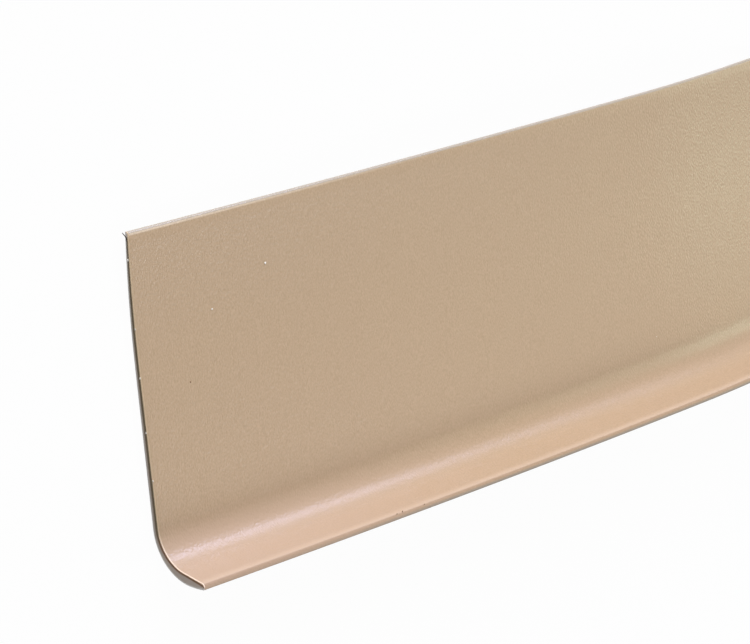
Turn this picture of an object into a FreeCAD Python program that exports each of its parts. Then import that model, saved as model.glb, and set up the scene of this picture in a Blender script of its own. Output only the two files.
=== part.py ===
import FreeCAD, Part
import math
import os

import Sketcher

# Vinyl cove base: one extruded strip with a curved foot, stored lying on its back.
# X runs along the strip, Y up the wall side from the floor line, Z out of its face.
# The strip lies flat but for a low hump, left by the roll, at its free end.

os.makedirs("parts", exist_ok=True)
doc = FreeCAD.newDocument("cove_base")

# Driving dimensions in millimetres and degrees.
SIZES = {
    "base_height": 101.6,
    "toe_reach": 19.05,
    "wall_foot": 2.2,
    "wall_middle": 1.9,
    "curl_start": 62.5,
    "back_curl_radius": 350.0,
    "face_curl_radius": 475.0,
    "top_face_radius": 0.9,
    "top_back_radius": 0.1,
    "heel_radius": 15.4,
    "sole_radius": 35.0,
    "cove_radius": 12.2,
    "toe_slope": 16.0,
    "nose_height": 0.8,
    "nose_top_radius": 1.3,
    "nose_bottom_radius": 0.5,
    "stock_length": 1219.2,
    "crest_run": 230.0,
    "crest_radius": 3400.0,
    "crease_radius": 430.0,
    "hollow_radius": 500.0,
}

sheet = doc.addObject("Spreadsheet::Sheet", "Sizes")
for row, (alias, value) in enumerate(SIZES.items(), start=1):
    sheet.set(f"A{row}", alias)
    sheet.set(f"B{row}", str(value))
    sheet.setAlias(f"B{row}", alias)
doc.recompute()


def size(alias):
    """Give a driving dimension as the sheet holds it."""
    return float(sheet.get(alias))


def point(x, y):
    """Give a point of a sketch."""
    return FreeCAD.Vector(x, y, 0)


def add_arc(sketch, centre, radius, start, end):
    """Add an arc that runs counterclockwise from start to end, both in radians."""
    circle = Part.Circle(centre, FreeCAD.Vector(0, 0, 1), radius)
    return sketch.addGeometry(Part.ArcOfCircle(circle, start, end), False)


def add_line(sketch, start, end):
    """Add a straight line."""
    return sketch.addGeometry(Part.LineSegment(start, end), False)


def join(sketch, first, first_end, second, second_end):
    """Make two ends meet smoothly. An end is 1 for the start and 2 for the far one."""
    sketch.addConstraint(Sketcher.Constraint("Tangent", first, first_end, second, second_end))


def drive(sketch, name, alias, kind, *target):
    """Add a dimension that follows a value of the sheet."""
    index = sketch.addConstraint(Sketcher.Constraint(kind, *target, size(alias)))
    sketch.renameConstraint(index, name)
    sketch.setExpression(f"Constraints.{name}", f"Sizes.{alias} * 1 mm")


def lean(sketch, name, alias, line):
    """Lean a line past the vertical by an angle of the sheet."""
    angle = math.radians(90 + size(alias))
    index = sketch.addConstraint(Sketcher.Constraint("Angle", line, angle))
    sketch.renameConstraint(index, name)
    sketch.setExpression(f"Constraints.{name}", f"90 deg + Sizes.{alias} * 1 deg")


def add_sketch(body, name, role):
    """Add a sketch on one of the body's own origin planes."""
    sketch = body.newObject("Sketcher::SketchObject", name)
    plane = next(f for f in body.Origin.OriginFeatures if f.Role == role)
    sketch.AttachmentSupport = [(plane, "")]
    sketch.MapMode = "FlatFace"
    return sketch


def draw_path(body):
    """Draw the line of the back face along the strip, from the flat end to the free end."""
    length = size("stock_length")
    crest_run = size("crest_run")
    crest = size("crest_radius")
    crease = size("crease_radius")
    hollow = size("hollow_radius")
    up = 0.5 * math.pi
    down = 1.5 * math.pi
    # The strip is level at the hump's top, where the crest meets the crease.
    fall = math.asin(crest_run / crest)
    height = crest * (1 - math.cos(fall))
    rise = math.acos(1 - height / (crease + hollow))
    top = point(crest_run - length, height)
    flat_end = point(top.x + (crease + hollow) * math.sin(rise), 0)

    sketch = add_sketch(body, "Path", "XZ_Plane")
    flat = add_line(sketch, point(0, 0), flat_end)
    lift = add_arc(sketch, point(flat_end.x, hollow), hollow, down - rise, down)
    bend = add_arc(sketch, point(top.x, top.y - crease), crease, up - rise, up)
    over = add_arc(sketch, point(top.x, top.y - crest), crest, up, up + fall)
    sketch.addConstraint(Sketcher.Constraint("Coincident", flat, 1, -1, 1))
    sketch.addConstraint(Sketcher.Constraint("Horizontal", flat))
    join(sketch, flat, 2, lift, 2)
    join(sketch, lift, 1, bend, 1)
    join(sketch, bend, 2, over, 1)
    sketch.addConstraint(Sketcher.Constraint("Vertical", over, 3, over, 1))
    sketch.addConstraint(Sketcher.Constraint("PointOnObject", over, 2, -1))
    drive(sketch, "length", "stock_length", "DistanceX", over, 2, flat, 1)
    drive(sketch, "crest", "crest_run", "DistanceX", over, 2, over, 1)
    drive(sketch, "crest_bend", "crest_radius", "Radius", over)
    drive(sketch, "crease_bend", "crease_radius", "Radius", bend)
    drive(sketch, "hollow_bend", "hollow_radius", "Radius", lift)
    return sketch


def draw_section(body):
    """Draw the strip's section: x is the height on the wall, y the distance from it."""
    height = size("base_height")
    reach = size("toe_reach")
    curl_start = size("curl_start")
    slope = math.radians(size("toe_slope"))
    up = 0.5 * math.pi
    left = math.pi
    down = 1.5 * math.pi

    # Underside of the foot: the heel's curve, then the sole's flatter one to the nose.
    heel_radius = size("heel_radius")
    sole_radius = size("sole_radius")
    tip_radius = size("nose_bottom_radius")
    sole_centre = point(sole_radius, reach - tip_radius)
    gap = sole_radius - heel_radius
    rise = sole_centre.y - heel_radius
    heel_centre = point(sole_radius - math.sqrt(gap ** 2 - rise ** 2), heel_radius)
    turn = math.asin(rise / gap)

    # Nose and the top of the toe.
    nose_height = size("nose_height")
    nose_radius = size("nose_top_radius")
    nose_centre = point(nose_height, reach - nose_radius)
    toe_normal = point(math.cos(slope), math.sin(slope))
    toe_end = nose_centre + toe_normal * nose_radius

    # Face of the wall, which thins upwards, and the cove between it and the toe.
    wall_foot = size("wall_foot")
    wall_middle = size("wall_middle")
    cove_radius = size("cove_radius")
    taper = math.atan((wall_foot - wall_middle) / (curl_start - nose_height - cove_radius))
    face_normal = point(math.sin(taper), math.cos(taper))
    face_top = point(curl_start, wall_middle)
    face_offset = face_top * face_normal + cove_radius
    toe_offset = toe_end * toe_normal + cove_radius
    spread = face_normal.x * toe_normal.y - face_normal.y * toe_normal.x
    cove_centre = point(
        (face_offset * toe_normal.y - toe_offset * face_normal.y) / spread,
        (face_normal.x * toe_offset - toe_normal.x * face_offset) / spread,
    )

    # Top edge, where the wall curls a little towards the room.
    back_curl = size("back_curl_radius")
    face_curl = size("face_curl_radius")
    back_round = size("top_back_radius")
    face_round = size("top_face_radius")
    back_curl_centre = point(curl_start, back_curl)
    face_curl_centre = face_top + face_normal * face_curl
    back_lean = math.asin((height - back_round - curl_start) / (back_curl - back_round))
    face_run = height - face_round - face_curl_centre.x
    face_lean = math.asin(face_run / (face_curl + face_round))
    back_round_y = back_curl - (back_curl - back_round) * math.cos(back_lean)
    face_round_y = face_curl_centre.y - (face_curl + face_round) * math.cos(face_lean)

    sketch = add_sketch(body, "Section", "YZ_Plane")
    back = add_line(sketch, point(curl_start, 0), point(heel_centre.x, 0))
    heel = add_arc(sketch, heel_centre, heel_radius, left + turn, down)
    sole = add_arc(sketch, sole_centre, sole_radius, left, left + turn)
    tip = add_arc(sketch, point(tip_radius, sole_centre.y), tip_radius, up, left)
    nose = add_line(sketch, point(tip_radius, reach), point(nose_height, reach))
    brow = add_arc(sketch, nose_centre, nose_radius, slope, up)
    toe = add_line(sketch, cove_centre - toe_normal * cove_radius, toe_end)
    cove = add_arc(sketch, cove_centre, cove_radius, left + slope, down - taper)
    face = add_line(sketch, cove_centre - face_normal * cove_radius, face_top)
    curl = add_arc(sketch, face_curl_centre, face_curl, down - taper, down + face_lean)
    lip = add_arc(sketch, point(height - face_round, face_round_y), face_round, 0, up + face_lean)
    top = add_line(sketch, point(height, face_round_y), point(height, back_round_y))
    back_lip_centre = point(height - back_round, back_round_y)
    back_lip = add_arc(sketch, back_lip_centre, back_round, down + back_lean, 2 * math.pi)
    back_arc = add_arc(sketch, back_curl_centre, back_curl, down, down + back_lean)

    join(sketch, back, 2, heel, 2)
    join(sketch, heel, 1, sole, 2)
    join(sketch, sole, 1, tip, 2)
    join(sketch, tip, 1, nose, 1)
    join(sketch, nose, 2, brow, 2)
    join(sketch, brow, 1, toe, 2)
    join(sketch, toe, 1, cove, 1)
    join(sketch, cove, 2, face, 1)
    join(sketch, face, 2, curl, 1)
    join(sketch, curl, 2, lip, 2)
    join(sketch, lip, 1, top, 1)
    join(sketch, top, 2, back_lip, 2)
    join(sketch, back_lip, 1, back_arc, 2)
    join(sketch, back_arc, 1, back, 1)

    sketch.addConstraint(Sketcher.Constraint("Horizontal", back))
    sketch.addConstraint(Sketcher.Constraint("PointOnObject", back, 1, -1))
    sketch.addConstraint(Sketcher.Constraint("Vertical", top))
    sketch.addConstraint(Sketcher.Constraint("Horizontal", nose))
    sketch.addConstraint(Sketcher.Constraint("PointOnObject", sole, 1, -2))
    sketch.addConstraint(Sketcher.Constraint("Horizontal", sole, 1, sole, 3))
    drive(sketch, "height", "base_height", "DistanceX", -1, 1, top, 1)
    drive(sketch, "curl_height", "curl_start", "DistanceX", -1, 1, back, 1)
    drive(sketch, "face_height", "curl_start", "DistanceX", -1, 1, face, 2)
    drive(sketch, "middle_wall", "wall_middle", "DistanceY", -1, 1, face, 2)
    drive(sketch, "foot_wall", "wall_foot", "DistanceY", -1, 1, face, 1)
    drive(sketch, "reach", "toe_reach", "DistanceY", -1, 1, nose, 1)
    drive(sketch, "nose_top", "nose_height", "DistanceX", -1, 1, nose, 2)
    lean(sketch, "toe_angle", "toe_slope", toe)
    drive(sketch, "heel_bend", "heel_radius", "Radius", heel)
    drive(sketch, "sole_bend", "sole_radius", "Radius", sole)
    drive(sketch, "tip_round", "nose_bottom_radius", "Radius", tip)
    drive(sketch, "brow_round", "nose_top_radius", "Radius", brow)
    drive(sketch, "cove_bend", "cove_radius", "Radius", cove)
    drive(sketch, "face_bend", "face_curl_radius", "Radius", curl)
    drive(sketch, "lip_round", "top_face_radius", "Radius", lip)
    drive(sketch, "back_lip_round", "top_back_radius", "Radius", back_lip)
    drive(sketch, "back_bend", "back_curl_radius", "Radius", back_arc)
    return sketch


body = doc.addObject("PartDesign::Body", "cove_base")
body.Label = "cove_base"
path = draw_path(body)
section = draw_section(body)
doc.recompute()
strip = body.newObject("PartDesign::AdditivePipe", "Strip")
strip.Profile = section
strip.Spine = (path, [])
doc.recompute()

# The frame's origin is under the middle of the strip as it lies.
bounds = body.Shape.optimalBoundingBox(False, False)
body.Placement.Base = FreeCAD.Vector(-bounds.Center.x, -bounds.Center.y, -bounds.ZMin)
doc.recompute()

for item in doc.Objects:
    if "Invalid" in item.State or "Error" in item.State:
        raise RuntimeError(f"{item.Name} did not build: {item.State}")
if body.Shape.isNull() or not body.Shape.isValid() or len(body.Shape.Solids) != 1:
    raise RuntimeError("the strip is not one valid solid")
body.Shape.exportStep("parts/cove_base.step")
print("box", body.Shape.optimalBoundingBox(False, False), "volume", body.Shape.Volume)
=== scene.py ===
"""Vinyl cove base: one beige extrusion, lying on its back on a pale floor.

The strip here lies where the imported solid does. It has the same section and the same low
hump, drawn finely enough for smooth light, with the knife-cut ends, the grain of the face
and the small flaws of the cut.
"""

import logging
import math
import random
from dataclasses import dataclass, field
from enum import Enum, IntEnum

import bmesh
import bpy
from mathutils import Euler, Matrix, Vector

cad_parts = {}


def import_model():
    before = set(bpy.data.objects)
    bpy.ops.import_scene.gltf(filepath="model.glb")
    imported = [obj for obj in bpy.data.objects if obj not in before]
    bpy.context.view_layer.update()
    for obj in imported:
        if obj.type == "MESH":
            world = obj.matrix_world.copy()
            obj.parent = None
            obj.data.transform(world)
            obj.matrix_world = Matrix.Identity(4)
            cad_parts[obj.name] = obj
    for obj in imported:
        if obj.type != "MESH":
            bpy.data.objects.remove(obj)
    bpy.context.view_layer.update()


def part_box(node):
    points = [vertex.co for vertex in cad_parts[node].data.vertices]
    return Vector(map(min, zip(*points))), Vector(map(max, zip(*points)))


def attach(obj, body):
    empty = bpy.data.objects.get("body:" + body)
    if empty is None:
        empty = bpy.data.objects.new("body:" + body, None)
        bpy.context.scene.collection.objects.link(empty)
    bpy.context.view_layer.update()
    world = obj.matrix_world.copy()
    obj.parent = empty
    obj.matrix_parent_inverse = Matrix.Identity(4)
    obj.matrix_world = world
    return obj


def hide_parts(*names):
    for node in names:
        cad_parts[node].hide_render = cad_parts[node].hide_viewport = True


LOG = logging.getLogger("cove_base")
MM = 0.001
QUARTER = math.pi / 2
VINYL_IOR = 1.5
# A mix node's sockets for colours share their names with its other sockets.
MIX_FIRST = 6
MIX_SECOND = 7
MIX_RESULT = 2


def linear(colour: str) -> tuple[float, float, float, float]:
    """Turn an sRGB hex colour to linear.

    Args:
        colour: six hex digits, such as "bea688".

    Returns:
        Linear red, green and blue, and an alpha of 1.
    """
    parts = [int(colour[i:i + 2], 16) / 255 for i in (0, 2, 4)]
    red, green, blue = (
        part / 12.92 if part <= 0.04045 else ((part + 0.055) / 1.055) ** 2.4 for part in parts
    )
    return red, green, blue, 1.0


def add_node(
    tree: bpy.types.NodeTree, kind: str, values: dict | None = None, **settings: object
) -> bpy.types.Node:
    """Add a shader node with its settings, values and links.

    Args:
        tree: the node tree that it joins.
        kind: the node's Blender type.
        values: socket to value, or to the output socket that feeds it.
        settings: the node's own properties.

    Returns:
        The new node.
    """
    node = tree.nodes.new(kind)
    for name, value in settings.items():
        setattr(node, name, value)
    for name, value in (values or {}).items():
        if isinstance(value, bpy.types.NodeSocket):
            tree.links.new(value, node.inputs[name])
        else:
            node.inputs[name].default_value = value
    return node


def close_tree(
    tree: bpy.types.NodeTree, kind: str, values: dict, output: str = "ShaderNodeOutputMaterial"
) -> None:
    """Add the shader that a material or the world shows, and join it to the output.

    Args:
        tree: the node tree.
        kind: the shader's Blender type.
        values: the shader's values and links.
        output: the output node's Blender type.
    """
    shader = add_node(tree, kind, values)
    add_node(tree, output, {"Surface": shader.outputs[0]})


def blank_material(name: str) -> tuple[bpy.types.Material, bpy.types.NodeTree]:
    """Make a material with an empty node tree.

    Args:
        name: the material's name.

    Returns:
        The material and its node tree.
    """
    material = bpy.data.materials.new(name)
    material.use_nodes = True
    material.node_tree.nodes.clear()
    return material, material.node_tree


def link_object(name: str, bm: bmesh.types.BMesh) -> bpy.types.Object:
    """Turn a bmesh into an object of the scene, at the origin.

    Args:
        name: the object's name.
        bm: its mesh, which is freed.

    Returns:
        The object.
    """
    mesh = bpy.data.meshes.new(name)
    bm.to_mesh(mesh)
    bm.free()
    made = bpy.data.objects.new(name, mesh)
    bpy.context.collection.objects.link(made)
    return made


class Finish(IntEnum):
    """The finishes on the strip, by material index."""

    SKIN = 0
    LIP = 1
    CUT = 2


class Axis(Enum):
    """The part of a vector that a tint follows."""

    X = "X"
    Y = "Y"


class Seat(Enum):
    """Where a light stands: its bearing from the strip's long axis and its elevation, in degrees."""

    BROAD = (120.0, 30.0)
    LEVEL = (105.0, 15.0)
    HIGH = (90.0, 45.0)
    SHEEN = (55.0, 22.0)
    LOW = (60.0, 12.0)
    SIDE = (-40.0, 35.0)
    FOOT = (-90.0, 30.0)
    FAR = (0.0, 25.0)


@dataclass(frozen=True)
class Lamp:
    """A soft square light that looks at the part of the strip in view.

    Its side, reach and aim are in metres, and its power is in watts.
    """

    seat: Seat
    side: float
    power: float
    colour: str = "ffffff"
    reach: float = 2.5
    aim: tuple[float, float, float] = (-0.48, 0.0, 0.0)

    def light(self) -> None:
        """Set the light up."""
        data = bpy.data.lights.new(self.seat.name.lower(), "AREA")
        data.shape = "SQUARE"
        data.size = self.side
        data.energy = self.power
        data.color = linear(self.colour)[:3]
        lamp = bpy.data.objects.new(data.name, data)
        bearing, elevation = (math.radians(angle) for angle in self.seat.value)
        way = Vector((
            math.cos(elevation) * math.cos(bearing),
            math.cos(elevation) * math.sin(bearing),
            math.sin(elevation),
        ))
        lamp.location = Vector(self.aim) + way * self.reach
        lamp.rotation_euler = way.to_track_quat("Z", "Y").to_euler()
        bpy.context.collection.objects.link(lamp)


@dataclass(frozen=True)
class Tint:
    """A tint over a band of the strip, with its places in millimetres.

    It eases in from the first place of each band to the second. Its share runs straight from
    the first pair, a place and the share there, to the last pair.
    """

    colour: str
    bands: tuple[tuple[float, float], ...]
    first: tuple[float, float] = (0.0, 1.0)
    last: tuple[float, float] = (1.0, 1.0)
    across: Axis = Axis.Y
    along: Axis = Axis.X

    def lay(
        self, tree: bpy.types.NodeTree, place: bpy.types.NodeSocket,
        under: bpy.types.NodeSocket | tuple[float, float, float, float],
    ) -> bpy.types.NodeSocket:
        """Lay the tint over a colour.

        Args:
            tree: the node tree.
            place: the vector that the tint follows, in metres.
            under: the colour that it covers.

        Returns:
            The colour with the tint.
        """
        parts = add_node(tree, "ShaderNodeSeparateXYZ", {"Vector": place})
        share = add_node(
            tree, "ShaderNodeMapRange",
            {
                "Value": parts.outputs[self.along.value],
                "From Min": self.first[0] * MM, "From Max": self.last[0] * MM,
                "To Min": self.first[1], "To Max": self.last[1],
            },
        ).outputs["Result"]
        for start, end in self.bands:
            eased = add_node(
                tree, "ShaderNodeMapRange",
                {
                    "Value": parts.outputs[self.across.value],
                    "From Min": start * MM, "From Max": end * MM,
                },
                interpolation_type="SMOOTHSTEP",
            )
            share = add_node(
                tree, "ShaderNodeMath", {0: eased.outputs["Result"], 1: share},
                operation="MULTIPLY",
            ).outputs["Value"]
        return add_node(
            tree, "ShaderNodeMix",
            {0: share, MIX_FIRST: under, MIX_SECOND: linear(self.colour)}, data_type="RGBA",
        ).outputs[MIX_RESULT]


@dataclass(frozen=True)
class PressedVinyl:
    """Flexible vinyl, extruded and pressed with a fine matte grain.

    The eye sees an even beige with a soft sheen that shows where the cove bends. Near the cut
    the foot is painted a shade pinker, as the warmer light it takes there, and the top edge is
    painted paler, as a highlight on its rounding. The top face is drawn darker and greyer. A
    pale line painted along the toe's brow is a painted highlight, the nose is painted darker
    brown as shade, and away from the cut its lower rim is painted grey as the shadow under it.

    Such grain is usually about 0.2 mm wide, finer than a pixel. It is drawn 0.5 mm wide in
    the colour and 0.65 mm wide in the relief, deeper than it is and longer up the wall, so
    that it shows.
    """

    beige: str = "c6aa8b"
    cloud: str = "c4a88b"
    pit: str = "b79c7d"
    cloud_mm: float = 30.0
    grain_mm: float = 0.5
    grain_span: tuple[float, float] = (0.25, 0.75)
    grain_draw: tuple[float, float, float] = (1.35, 0.7, 1.0)
    pebble_mm: float = 0.65
    pebble_depth_mm: float = 0.14
    pebble_strength: float = 0.6
    roughness: float = 0.33
    scuffed: float = 0.65
    scuff_span: tuple[float, float] = (-48.4, -48.9)
    # Painted light: near the cut the foot is tinted pinker, for the warmer light it takes there.
    foot: Tint = Tint("c3a790", ((-33.0, -41.0),), (-600.0, 0.85), (-470.0, 0.0))
    # Painted highlight: near the cut the top edge is painted paler, as the light on its rounding.
    edge: Tint = Tint("eedac3", ((49.4, 49.9),), (-595.0, 0.75), (-480.0, 0.0))
    # The top face is drawn darker and greyer.
    dust: Tint = Tint("b1a697", ((49.95, 50.35),), (0.0, 0.9), (1.0, 0.9))
    # Painted highlight: a pale line along the toe's brow, where the light would catch it.
    painted_brow_highlight: Tint = Tint("dcc4ae", ((-48.2, -48.7), (-49.2, -48.9)), (0.0, 0.3), (1.0, 0.3))
    # Painted shade: the nose face is painted darker brown, most at its top, where it turns from the
    # light.
    nose: Tint = Tint("8e6950", ((-48.9, -49.2),), (-49.4, 0.32), (-50.4, 0.12), along=Axis.Y)
    # Painted shadow: away from the cut, the nose's lower rim is painted grey as the shadow under it.
    painted_nose_shadow: Tint = Tint("8f8a80", ((-49.5, -50.4),), (-590.0, 0.0), (-500.0, 0.7))

    def build(self) -> bpy.types.Material:
        """Make the material of the faces and the back.

        Returns:
            The material.
        """
        material, tree = blank_material("pressed_vinyl")
        place = add_node(tree, "ShaderNodeTexCoord").outputs["Object"]
        drawn = add_node(
            tree, "ShaderNodeVectorMath", {0: place, 1: self.grain_draw}, operation="MULTIPLY",
        ).outputs["Vector"]
        tint = self.colour(tree, place, drawn)
        for wear in (self.foot, self.edge, self.dust, self.painted_brow_highlight, self.nose, self.painted_nose_shadow):
            tint = wear.lay(tree, place, tint)
        pebble = add_node(
            tree, "ShaderNodeTexNoise",
            {"Vector": drawn, "Scale": 1 / (self.pebble_mm * MM), "Detail": 0.0},
        )
        bump = add_node(
            tree, "ShaderNodeBump",
            {
                "Height": pebble.outputs["Fac"],
                "Strength": self.pebble_strength,
                "Distance": self.pebble_depth_mm * MM,
            },
        )
        height = add_node(tree, "ShaderNodeSeparateXYZ", {"Vector": place}).outputs["Y"]
        rough = add_node(
            tree, "ShaderNodeMapRange",
            {
                "Value": height,
                "From Min": self.scuff_span[0] * MM, "From Max": self.scuff_span[1] * MM,
                "To Min": self.roughness, "To Max": self.scuffed,
            },
        )
        close_tree(
            tree, "ShaderNodeBsdfPrincipled",
            {
                "Base Color": tint, "Roughness": rough.outputs["Result"], "IOR": VINYL_IOR,
                "Normal": bump.outputs["Normal"],
            },
        )
        return material

    def colour(
        self, tree: bpy.types.NodeTree, place: bpy.types.NodeSocket, drawn: bpy.types.NodeSocket
    ) -> bpy.types.NodeSocket:
        """Give the vinyl's own colour, slightly clouded, with darker pits in its grain.

        Args:
            tree: the node tree.
            place: the place on the strip, in metres from its middle.
            drawn: the same place, scaled to draw the grain out.

        Returns:
            The colour.
        """
        cloud = add_node(
            tree, "ShaderNodeTexNoise",
            {"Vector": place, "Scale": 1 / (self.cloud_mm * MM), "Detail": 3.0},
        )
        tint = add_node(
            tree, "ShaderNodeMix",
            {
                0: cloud.outputs["Fac"],
                MIX_FIRST: linear(self.beige), MIX_SECOND: linear(self.cloud),
            },
            data_type="RGBA",
        )
        grain = add_node(
            tree, "ShaderNodeTexNoise",
            {"Vector": drawn, "Scale": 1 / (self.grain_mm * MM), "Detail": 2.0},
        )
        speckle = add_node(
            tree, "ShaderNodeMapRange",
            {
                "Value": grain.outputs["Fac"],
                "From Min": self.grain_span[0], "From Max": self.grain_span[1],
            },
            interpolation_type="SMOOTHSTEP",
        )
        return add_node(
            tree, "ShaderNodeMix",
            {
                0: speckle.outputs["Result"],
                MIX_FIRST: tint.outputs[MIX_RESULT], MIX_SECOND: linear(self.pit),
            },
            data_type="RGBA",
        ).outputs[MIX_RESULT]


@dataclass(frozen=True)
class StressedVinylAndPaintedHighlight:
    """Vinyl bent over by the knife.

    The eye sees a smooth, pale line along the rim of the cut. It is paled by the knife and
    painted paler still as a highlight on the rim, palest at the foot.
    """

    # Partly painted highlight: the rim is painted paler than the wall, and paler again at the foot,
    # as the light on it.
    wall: str = "dcc3a2"
    foot: Tint = Tint("fae1cc", ((-34.0, -42.0),))
    roughness: float = 0.35

    def build(self) -> bpy.types.Material:
        """Make the material of the rim.

        Returns:
            The material.
        """
        material, tree = blank_material("stressed_vinyl_and_painted_highlight")
        place = add_node(tree, "ShaderNodeTexCoord").outputs["Object"]
        tint = self.foot.lay(tree, place, linear(self.wall))
        close_tree(
            tree, "ShaderNodeBsdfPrincipled",
            {"Base Color": tint, "Roughness": self.roughness, "IOR": VINYL_IOR},
        )
        return material


@dataclass(frozen=True)
class CutVinyl:
    """The inside of the strip, opened by a knife.

    The eye sees a dark brown line under the skin of the face, partly the dark skin and partly
    painted shade of the rim, and dull grey behind it. A pale line at the back is painted light
    coming round the back edge, and the torn top corner is painted pale as a highlight. The
    knife's drag is a matte, uneven relief, drawn about a pixel wide so that it shows.

    The mesh keeps the way in from the face as the X of its depth, and from the back as the Y.
    """

    # Partly painted shade: the dark brown line is the skin and the rim's shade on the cut, lighter
    # and redder at the foot.
    skin: str = "64563f"
    foot: Tint = Tint("7b583b", ((-34.0, -42.0),))
    core: Tint = Tint("b3a59a", ((0.6, 1.2),), across=Axis.X)
    # Painted light: a pale line along the back edge, as light coming round it.
    back: Tint = Tint("dcd8d3", ((0.8, 0.0),))
    # Painted highlight: the torn top corner is painted pale, as its lit side.
    torn: Tint = Tint("d2c5bb", ((48.9, 49.4),))
    roughness: float = 0.7
    drag_mm: float = 0.35
    drag_depth_mm: float = 0.06
    drag_strength: float = 0.6

    def build(self) -> bpy.types.Material:
        """Make the material of the cut ends.

        Returns:
            The material.
        """
        material, tree = blank_material("cut_vinyl")
        place = add_node(tree, "ShaderNodeTexCoord").outputs["Object"]
        depth = add_node(tree, "ShaderNodeAttribute", attribute_name="depth").outputs["Vector"]
        colour = self.foot.lay(tree, place, linear(self.skin))
        colour = self.core.lay(tree, depth, colour)
        colour = self.back.lay(tree, depth, colour)
        colour = self.torn.lay(tree, place, colour)
        drag = add_node(
            tree, "ShaderNodeTexNoise",
            {"Vector": place, "Scale": 1 / (self.drag_mm * MM), "Detail": 3.0},
        )
        bump = add_node(
            tree, "ShaderNodeBump",
            {
                "Height": drag.outputs["Fac"],
                "Strength": self.drag_strength,
                "Distance": self.drag_depth_mm * MM,
            },
        )
        close_tree(
            tree, "ShaderNodeBsdfPrincipled",
            {
                "Base Color": colour, "Roughness": self.roughness, "IOR": VINYL_IOR,
                "Normal": bump.outputs["Normal"],
            },
        )
        return material


@dataclass(frozen=True)
class Crumbs:
    """Torn or dragged vinyl, dust or grit.

    The eye sees small matte specks, each kind in one colour. The burr's dark colour is partly
    painted shade.
    """

    name: str
    colour: str
    roughness: float = 0.6
    ior: float = 1.45

    def build(self) -> bpy.types.Material:
        """Make the material of the crumbs.

        Returns:
            The material.
        """
        material, tree = blank_material(self.name)
        close_tree(
            tree, "ShaderNodeBsdfPrincipled",
            {"Base Color": linear(self.colour), "Roughness": self.roughness, "IOR": self.ior},
        )
        return material


@dataclass
class Pen:
    """Draws the section, one short edge after another, and numbers its points."""

    bm: bmesh.types.BMesh
    x: float
    base_height: float
    start: tuple[float, float]

    def __post_init__(self) -> None:
        """Set the pen down."""
        self.rank = self.bm.verts.layers.int.new("rank")
        self.first = self.tip = self.bm.verts.new(self.spot(self.start))
        self.count = 1

    def spot(self, place: tuple[float, float]) -> Vector:
        """Give a point of the section, a height and a depth in millimetres, in the frame."""
        height, depth = place
        return Vector((self.x, (height - self.base_height / 2) * MM, depth * MM))

    def step(self, tip: bmesh.types.BMVert) -> None:
        """Take up a new point.

        Args:
            tip: the point.
        """
        self.tip = tip
        tip[self.rank] = self.count
        self.count += 1

    def line(self, end: tuple[float, float], steps: int) -> None:
        """Draw a straight stretch.

        Args:
            end: the height and depth where it ends, in millimetres.
            steps: the pieces that it is cut into.
        """
        move = (self.spot(end) - self.tip.co) / steps
        for _ in range(steps):
            made = bmesh.ops.extrude_vert_indiv(self.bm, verts=[self.tip])["verts"]
            bmesh.ops.translate(self.bm, verts=made, vec=move)
            self.step(made[0])

    def bend(self, centre: tuple[float, float], turn: float, steps: int) -> None:
        """Draw an arc.

        Args:
            centre: the height and depth of its centre, in millimetres.
            turn: its angle in radians, positive from the heights towards the depths.
            steps: the pieces that it is cut into.
        """
        for _ in range(steps):
            made = bmesh.ops.spin(
                self.bm, geom=[self.tip], cent=self.spot(centre), axis=(1, 0, 0),
                angle=turn / steps, steps=1, use_merge=False, use_duplicate=False,
            )["geom_last"]
            self.step(next(item for item in made if isinstance(item, bmesh.types.BMVert)))

    def close(self) -> None:
        """Join the last point to the first."""
        bmesh.ops.contextual_create(self.bm, geom=[self.tip, self.first])


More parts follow.
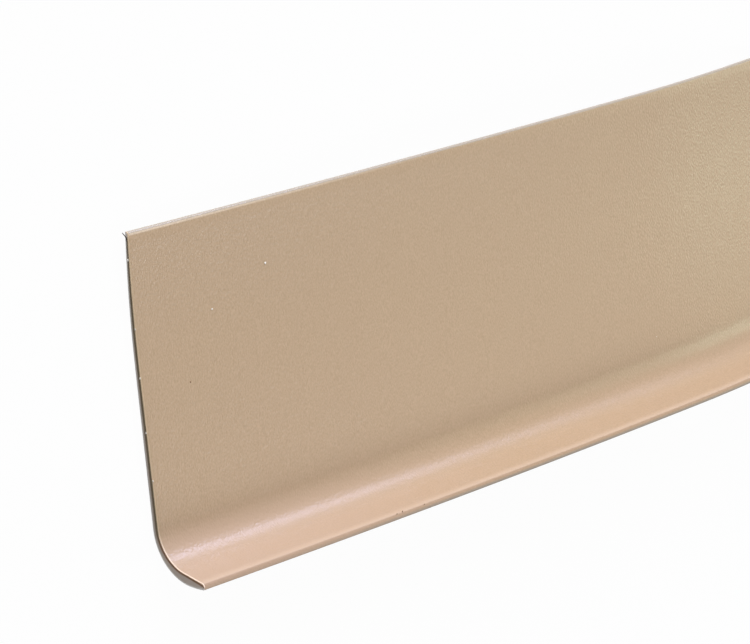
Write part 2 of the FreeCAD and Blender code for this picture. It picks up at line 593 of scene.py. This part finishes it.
@dataclass
class Section:
    """The strip's section in millimetres: heights up the wall, depths out from the wall."""

    base_height: float = 101.6
    toe_reach: float = 19.05
    wall_foot: float = 2.2
    wall_middle: float = 1.9
    curl_start: float = 62.5
    back_curl_radius: float = 350.0
    face_curl_radius: float = 475.0
    top_face_radius: float = 0.9
    top_back_radius: float = 0.1
    heel_radius: float = 15.4
    sole_radius: float = 35.0
    cove_radius: float = 12.2
    toe_slope: float = 16.0
    nose_height: float = 0.8
    nose_top_radius: float = 1.3
    nose_bottom_radius: float = 0.5
    tip_steps: int = 6
    curl_steps: int = 10
    line_steps: int = 8
    cove_steps: int = 28

    def taper(self) -> float:
        """Give the slope at which the wall thins towards its middle, as a ratio."""
        run = self.curl_start - self.nose_height - self.cove_radius
        return (self.wall_foot - self.wall_middle) / run

    def face_depth(self, height: float) -> float:
        """Give the depth of the face above the cove.

        Args:
            height: the height up the wall, in millimetres.

        Returns:
            The depth, in millimetres.
        """
        past = height - self.curl_start
        curl = max(past, 0.0) ** 2 / (2 * self.face_curl_radius)
        return self.wall_middle - past * self.taper() + curl

    def draw(self, bm: bmesh.types.BMesh, x: float) -> int:
        """Draw the closed outline, first the face's side of it and then the back's.

        Both sides have as many points, so point i of the face stands across from point
        -1 - i of the back.

        Args:
            bm: the mesh that is drawn in.
            x: where the section stands along the strip, in metres.

        Returns:
            The number of points on each side.
        """
        # The foot's underside: the heel's centre follows from the two arcs that touch.
        sole = (self.sole_radius, self.toe_reach - self.nose_bottom_radius)
        gap = self.sole_radius - self.heel_radius
        rise = sole[1] - self.heel_radius
        heel = (self.sole_radius - math.sqrt(gap ** 2 - rise ** 2), self.heel_radius)
        turn = math.asin(rise / gap)
        # The cove: its centre is a radius away from the face and from the toe's top.
        slope = math.radians(self.toe_slope)
        nose = (self.nose_height, self.toe_reach - self.nose_top_radius)
        toe = (math.cos(slope), math.sin(slope))
        toe_off = nose[0] * toe[0] + nose[1] * toe[1] + self.nose_top_radius + self.cove_radius
        taper = math.atan(self.taper())
        face = (math.sin(taper), math.cos(taper))
        face_off = self.curl_start * face[0] + self.wall_middle * face[1] + self.cove_radius
        spread = face[0] * toe[1] - face[1] * toe[0]
        cove = (
            (face_off * toe[1] - toe_off * face[1]) / spread,
            (face[0] * toe_off - toe[0] * face_off) / spread,
        )
        toe_end = (cove[0] - toe[0] * self.cove_radius, cove[1] - toe[1] * self.cove_radius)
        # The top edge: both sides curl a little, and two small arcs round it.
        curl = (
            self.curl_start + face[0] * self.face_curl_radius,
            self.wall_middle + face[1] * self.face_curl_radius,
        )
        back_radius = self.back_curl_radius - self.top_back_radius
        back_top = self.base_height - self.top_back_radius
        back_lean = math.asin((back_top - self.curl_start) / back_radius)
        back_depth = self.back_curl_radius - back_radius * math.cos(back_lean)
        lip_radius = self.face_curl_radius + self.top_face_radius
        lip_height = self.base_height - self.top_face_radius
        lip_lean = math.asin((lip_height - curl[0]) / lip_radius)
        lip = (lip_height, curl[1] - lip_radius * math.cos(lip_lean))

        pen = Pen(bm, x, self.base_height, (self.nose_height, self.toe_reach))
        pen.bend(nose, slope - QUARTER, self.tip_steps)
        pen.line(toe_end, self.line_steps)
        pen.bend(cove, QUARTER - slope - taper, self.cove_steps)
        pen.line((self.curl_start, self.wall_middle), self.line_steps)
        pen.bend(curl, taper + lip_lean, self.curl_steps)
        pen.bend(lip, -QUARTER - lip_lean, self.tip_steps)
        points = pen.count
        pen.line((self.base_height, back_depth), 1)
        pen.bend((back_top, back_depth), back_lean - QUARTER, self.tip_steps)
        pen.bend((self.curl_start, self.back_curl_radius), -back_lean, self.curl_steps)
        pen.line((heel[0], 0.0), self.line_steps)
        pen.bend(heel, turn - QUARTER, self.cove_steps)
        # The sole stands across from the toe's straight top, so it has as many pieces.
        pen.bend(sole, -turn, self.line_steps)
        pen.bend((self.nose_bottom_radius, sole[1]), -QUARTER, self.tip_steps)
        pen.close()
        if pen.count != 2 * points:
            raise ValueError("the face and the back of the section differ in points")
        return points


@dataclass
class Strip:
    """The whole strip: its section carried over the low hump and along the flat run.

    Its sizes are in millimetres.
    """

    section: Section = field(default_factory=Section)
    stock_length: float = 1219.2
    crest_run: float = 230.0
    crest_radius: float = 3400.0
    crease_radius: float = 430.0
    hollow_radius: float = 500.0
    rim_mm: float = 0.3
    rim_share: float = 0.35
    rim_steps: int = 4
    rim_band_mm: float = 0.8
    crest_steps: int = 24
    bend_steps: int = 12
    flat_steps: int = 16
    node: str = "cove_base"

    def __post_init__(self) -> None:
        """Work out where the hump's arcs meet."""
        _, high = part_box(self.node)
        self.fall = math.asin(self.crest_run / self.crest_radius)
        self.height = self.crest_radius * (1 - math.cos(self.fall))
        bends = self.crease_radius + self.hollow_radius
        self.rise = math.acos(1 - self.height / bends)
        self.flat_run = self.stock_length - self.crest_run - bends * math.sin(self.rise)
        self.flat_end = high[0] - self.flat_run * MM
        self.crest = self.flat_end - bends * math.sin(self.rise) * MM

    def spot(self, run: float, height: float, depth: float) -> Vector:
        """Give a point of the crest in the frame.

        Args:
            run: how far it is from the cut end, in millimetres.
            height: its height up the wall, in millimetres.
            depth: its depth out from the wall, in millimetres.

        Returns:
            The point, in metres.
        """
        lean = self.fall - run / self.crest_radius
        reach = self.crest_radius + depth
        return Vector((
            self.crest - reach * math.sin(lean) * MM,
            (height - self.section.base_height / 2) * MM,
            (self.height - self.crest_radius + reach * math.cos(lean)) * MM,
        ))

    def sweep(self) -> bpy.types.Object:
        """Build the strip's mesh.

        Returns:
            The strip's object, at the origin.
        """
        bm = bmesh.new()
        points = self.section.draw(bm, self.crest)
        depth = bm.verts.layers.float_vector.new("depth")
        ring = list(bm.edges)
        centre = Vector((self.crest, 0, (self.height - self.crest_radius) * MM))
        lean = self.fall - self.rim_mm / self.crest_radius
        bmesh.ops.translate(bm, verts=list(bm.verts), vec=(0, 0, self.height * MM))
        bmesh.ops.rotate(
            bm, verts=list(bm.verts), cent=centre, matrix=Matrix.Rotation(-lean, 3, "Y"),
        )
        far = self.carry(bm, ring, lean)
        near = self.roll_rim(bm, ring)
        for face in bm.faces:
            face.smooth = True
        for edges in (near, far):
            self.close_end(bm, edges, points, depth)
        bmesh.ops.recalc_face_normals(bm, faces=list(bm.faces))
        return link_object("strip", bm)

    def roll_rim(
        self, bm: bmesh.types.BMesh, ring: list[bmesh.types.BMEdge]
    ) -> list[bmesh.types.BMEdge]:
        """Carry the section out to the cut, and round the face's side of it on the way.

        Args:
            bm: the strip's mesh.
            ring: the outline that stands just before the cut.

        Returns:
            The outline in the cut.
        """
        rank = bm.verts.layers.int["rank"]
        outline = {v[rank]: v.co.copy() for edge in ring for v in edge.verts}
        last = len(outline) - 1
        out = Vector((-math.cos(self.fall), 0, -math.sin(self.fall))) * self.rim_mm * MM
        for i in range(1, self.rim_steps + 1):
            angle = QUARTER * i / self.rim_steps
            ring = self.extrude(bm, ring)
            for v in {v for edge in ring for v in edge.verts}:
                across = outline[last - v[rank]] - outline[v[rank]]
                inward = min(self.rim_mm * MM, self.rim_share * across.length)
                if 2 * v[rank] > last:
                    inward = 0.0
                shift = inward * (1 - math.cos(angle)) * across.normalized()
                v.co = outline[v[rank]] + out * math.sin(angle) + shift
            for edge in ring:
                if all(2 * v[rank] < last for v in edge.verts):
                    for face in edge.link_faces:
                        face.material_index = Finish.LIP
        return ring

    def carry(
        self, bm: bmesh.types.BMesh, ring: list[bmesh.types.BMEdge], lean: float
    ) -> list[bmesh.types.BMEdge]:
        """Carry the section over the hump and along the flat run.

        Args:
            bm: the strip's mesh.
            ring: the outline that stands just before the cut.
            lean: the angle of that outline.

        Returns:
            The outline at the flat end.
        """
        below = (self.height - self.crest_radius) * MM
        dip = (self.height - self.crease_radius) * MM
        # A short first step keeps the rim's smooth shading off the long faces.
        start = self.rim_band_mm / self.crest_radius
        for x, z, turn, steps in (
            (self.crest, below, start, 1),
            (self.crest, below, lean - start, self.crest_steps),
            (self.crest, dip, self.rise, self.bend_steps),
            (self.flat_end, self.hollow_radius * MM, -self.rise, self.bend_steps),
        ):
            made = bmesh.ops.spin(
                bm, geom=ring, cent=(x, 0, z), axis=(0, 1, 0), angle=turn,
                steps=steps, use_merge=False, use_duplicate=False,
            )["geom_last"]
            ring = [item for item in made if isinstance(item, bmesh.types.BMEdge)]
        step = Vector((self.flat_run * MM / self.flat_steps, 0, 0))
        for _ in range(self.flat_steps):
            ring = self.extrude(bm, ring)
            moved = list({v for edge in ring for v in edge.verts})
            bmesh.ops.translate(bm, verts=moved, vec=step)
        return ring

    def extrude(
        self, bm: bmesh.types.BMesh, ring: list[bmesh.types.BMEdge]
    ) -> list[bmesh.types.BMEdge]:
        """Extrude an outline in place.

        Args:
            bm: the strip's mesh.
            ring: the outline.

        Returns:
            The new outline.
        """
        made = bmesh.ops.extrude_edge_only(bm, edges=ring)["geom"]
        fresh = {item for item in made if isinstance(item, bmesh.types.BMVert)}
        edges = [item for item in made if isinstance(item, bmesh.types.BMEdge)]
        return [edge for edge in edges if fresh.issuperset(edge.verts)]

    def close_end(
        self, bm: bmesh.types.BMesh, ring: list[bmesh.types.BMEdge], points: int,
        depth: bmesh.types.BMLayerItem,
    ) -> None:
        """Close an end with faces from the face's side to the back's.

        Args:
            bm: the strip's mesh.
            ring: the outline at that end.
            points: the number of points on each side.
            depth: the layer that keeps the way in from the face and from the back, in metres.
        """
        rank = bm.verts.layers.int["rank"]
        sides = [
            [edge for edge in ring if all((v[rank] < points) == front for v in edge.verts)]
            for front in (True, False)
        ]
        made = bmesh.ops.bridge_loops(bm, edges=sides[0] + sides[1])
        for face in made["faces"]:
            face.material_index = Finish.CUT
            face.smooth = False
        corners = {v[rank]: v for edge in ring for v in edge.verts}
        last = len(corners) - 1
        for number, v in corners.items():
            way = (v.co - corners[last - number].co).length
            v[depth] = (0.0, way, 0.0) if number < points else (way, 0.0, 0.0)
        for edge in ring:
            if any(v[rank] >= points for v in edge.verts):
                edge.smooth = False

    def dress(self, strip: bpy.types.Object) -> None:
        """Give the strip its finishes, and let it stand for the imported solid.

        Args:
            strip: the strip's object.
        """
        for finish in (PressedVinyl(), StressedVinylAndPaintedHighlight(), CutVinyl()):
            strip.data.materials.append(finish.build())
        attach(strip, "root")
        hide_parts(self.node)


@dataclass(frozen=True)
class Crumb:
    """A crumb of vinyl or dust: where it sits on the strip, and its size, in millimetres.

    Without a depth it sits on the face.
    """

    run: float
    height: float
    size: float
    depth: float | None = None


@dataclass
class Flaws:
    """What the knife and the dust left: a curled burr, torn flakes and a few crumbs.

    Its sizes are in millimetres, and the burr's points are a height and a depth each.
    """

    strip: Strip
    torn: tuple[Crumb, ...] = (
        Crumb(0.0, 93.5, 0.9, 2.0),
        Crumb(0.0, 73.7, 0.65, 1.9),
        Crumb(0.0, 59.6, 0.7, 1.6),
        Crumb(0.0, 43.8, 0.65, 1.6),
        Crumb(0.0, 29.9, 0.65, 2.2),
    )
    dust: tuple[Crumb, ...] = (
        Crumb(51.9, 82.2, 0.8), Crumb(29.5, 73.3, 0.65), Crumb(229.4, 21.1, 0.4),
    )
    grit: tuple[Crumb, ...] = (
        Crumb(18.3, 54.5, 0.5),
        Crumb(79.0, 1.9, 0.4, 18.8), Crumb(81.5, 2.0, 0.5, 18.7), Crumb(91.0, 1.8, 0.35, 18.8),
    )
    uneven: tuple[float, float] = (0.8, 1.15)
    squash_on_cut: tuple[float, float, float] = (0.35, 1.0, 0.8)
    squash_on_face: tuple[float, float, float] = (1.0, 0.9, 0.45)
    burr: tuple[tuple[float, float], ...] = (
        (98.6, 2.75), (99.3, 2.6), (100.1, 2.3), (100.7, 1.7), (101.15, 1.1),
    )
    burr_out: float = 0.12
    burr_radius: float = 0.22
    burr_taper: float = 0.88
    seed: int = 4

    def scatter(self, name: str, crumbs: tuple[Crumb, ...]) -> bpy.types.Object:
        """Lay small uneven crumbs on the strip.

        Args:
            name: the piece's name.
            crumbs: the crumbs.

        Returns:
            One object with all of them.
        """
        chance = random.Random(self.seed)
        section = self.strip.section
        bm = bmesh.new()
        for crumb in crumbs:
            made = bmesh.ops.create_icosphere(bm, subdivisions=2, radius=crumb.size / 2 * MM)
            for v in made["verts"]:
                v.co *= chance.uniform(*self.uneven)
            on_cut = crumb.depth is not None and crumb.run == 0.0
            squash = self.squash_on_cut if on_cut else self.squash_on_face
            depth = section.face_depth(crumb.height) if crumb.depth is None else crumb.depth
            bmesh.ops.scale(bm, verts=made["verts"], vec=squash)
            bmesh.ops.translate(
                bm, verts=made["verts"], vec=self.strip.spot(crumb.run, crumb.height, depth),
            )
        for face in bm.faces:
            face.smooth = True
        return link_object(name, bm)

    def curl_burr(self) -> bpy.types.Object:
        """Curl a thin sliver of skin off the top corner of the cut, tapered to a point.

        Returns:
            The burr's object.
        """
        bm = bmesh.new()
        places = [self.strip.spot(-self.burr_out, height, depth) for height, depth in self.burr]
        made = bmesh.ops.create_circle(
            bm, cap_ends=True, segments=8, radius=self.burr_radius * MM,
        )
        bmesh.ops.translate(bm, verts=made["verts"], vec=places[0])
        tip = list(bm.faces)
        shrink = (self.burr_taper,) * 3
        for before, after in zip(places, places[1:]):
            grown = bmesh.ops.extrude_face_region(bm, geom=tip)["geom"]
            verts = [item for item in grown if isinstance(item, bmesh.types.BMVert)]
            tip = [item for item in grown if isinstance(item, bmesh.types.BMFace)]
            bmesh.ops.translate(bm, verts=verts, vec=after - before)
            bmesh.ops.scale(bm, verts=verts, vec=shrink, space=Matrix.Translation(-after))
        bmesh.ops.holes_fill(bm, edges=list(bm.edges))
        bmesh.ops.recalc_face_normals(bm, faces=list(bm.faces))
        return link_object("burr", bm)

    def build(self) -> list[bpy.types.Object]:
        """Make every flaw with its finish, and let it ride on the strip.

        Returns:
            The flaws' objects.
        """
        dressed = (
            (self.scatter("torn_flakes", self.torn), Crumbs("torn_vinyl", "efe9e2")),
            (self.scatter("dust", self.dust), Crumbs("white_dust", "f4f0e8")),
            (self.scatter("grit", self.grit), Crumbs("brown_grit", "7a5c33")),
            # Partly painted shade: the burr is coloured as dark cut skin, darker still for the shade
            # on its curl.
            (self.curl_burr(), Crumbs("knife_dragged_vinyl_and_painted_shade", "3c342d")),
        )
        for piece, finish in dressed:
            piece.data.materials.append(finish.build())
            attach(piece, "root")
        return [piece for piece, _ in dressed]


@dataclass
class Studio:
    """The floor, the lights and the camera.

    Its lengths are in metres, the lens and sensor in millimetres, and the turn in degrees.
    """

    floor_side: float = 14.0
    floor_paint: str = "d6d6d6"
    floor_glow: float = 0.97
    world_strength: float = 0.16
    lamps: tuple[Lamp, ...] = (
        Lamp(Seat.BROAD, 0.8, 15.8),
        Lamp(Seat.LEVEL, 0.8, 25.6),
        Lamp(Seat.HIGH, 0.8, 15.8),
        Lamp(Seat.SHEEN, 0.4, 22.0, "d4d8ff"),
        Lamp(Seat.LOW, 0.5, 2.7),
        Lamp(Seat.SIDE, 0.8, 25.8),
        Lamp(Seat.FOOT, 0.8, 6.2),
        Lamp(Seat.FAR, 0.8, 6.4, "e2ffe1"),
    )
    place: tuple[float, float, float] = (-1.30267, 0.22016, 0.70567)
    turn: tuple[float, float, float] = (-5.2235, -49.2783, -8.4149)
    lens: float = 172.807
    sensor: float = 36.0
    farthest: float = 50.0

    def lay_floor(self) -> None:
        """Lay a plain floor that looks white and keeps the strip's shadow."""
        bm = bmesh.new()
        bmesh.ops.create_grid(bm, x_segments=1, y_segments=1, size=self.floor_side / 2)
        floor = link_object("floor", bm)
        material, tree = blank_material("floor_white")
        paint = add_node(tree, "ShaderNodeBsdfDiffuse", {"Color": linear(self.floor_paint)})
        glow = add_node(tree, "ShaderNodeEmission", {"Color": linear("ffffff"), "Strength": 1.0})
        path = add_node(tree, "ShaderNodeLightPath")
        seen = add_node(
            tree, "ShaderNodeMath",
            {0: path.outputs["Is Camera Ray"], 1: path.outputs["Is Glossy Ray"]},
            operation="MAXIMUM",
        )
        share = add_node(
            tree, "ShaderNodeMath", {0: seen.outputs["Value"], 1: self.floor_glow},
            operation="MULTIPLY",
        )
        close_tree(
            tree, "ShaderNodeMixShader",
            {0: share.outputs["Value"], 1: paint.outputs["BSDF"], 2: glow.outputs["Emission"]},
        )
        floor.data.materials.append(material)

    def light_world(self) -> None:
        """Light the scene softly from all round, on a white surround."""
        world = bpy.data.worlds.new("studio")
        bpy.context.scene.world = world
        world.use_nodes = True
        tree = world.node_tree
        tree.nodes.clear()
        path = add_node(tree, "ShaderNodeLightPath")
        seen = add_node(
            tree, "ShaderNodeMath",
            {0: path.outputs["Is Camera Ray"], 1: path.outputs["Is Transmission Ray"]},
            operation="MAXIMUM",
        )
        strength = add_node(
            tree, "ShaderNodeMapRange",
            {"Value": seen.outputs["Value"], "To Min": self.world_strength, "To Max": 1.0},
        )
        close_tree(
            tree, "ShaderNodeBackground",
            {"Color": linear("ffffff"), "Strength": strength.outputs["Result"]},
            output="ShaderNodeOutputWorld",
        )

    def hang_lamps(self) -> None:
        """Hang the lights."""
        for lamp in self.lamps:
            lamp.light()

    def set_camera(self) -> None:
        """Stand the camera where the photograph was taken from."""
        data = bpy.data.cameras.new("camera")
        data.lens = self.lens
        data.sensor_width = self.sensor
        data.clip_end = self.farthest
        camera = bpy.data.objects.new("camera", data)
        camera.location = self.place
        camera.rotation_euler = Euler([math.radians(angle) for angle in self.turn])
        bpy.context.collection.objects.link(camera)
        bpy.context.scene.camera = camera


def main() -> None:
    """Build the strip, its flaws and its studio."""
    logging.basicConfig(level=logging.INFO, format="%(name)s: %(message)s")
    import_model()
    strip = Strip()
    piece = strip.sweep()
    strip.dress(piece)
    for made in (piece, *Flaws(strip).build()):
        LOG.info("%s: %d faces", made.name, len(made.data.polygons))
    studio = Studio()
    studio.lay_floor()
    studio.light_world()
    studio.hang_lamps()
    studio.set_camera()
    bpy.context.scene.view_settings.view_transform = "Standard"


if __name__ == "__main__":
    main()
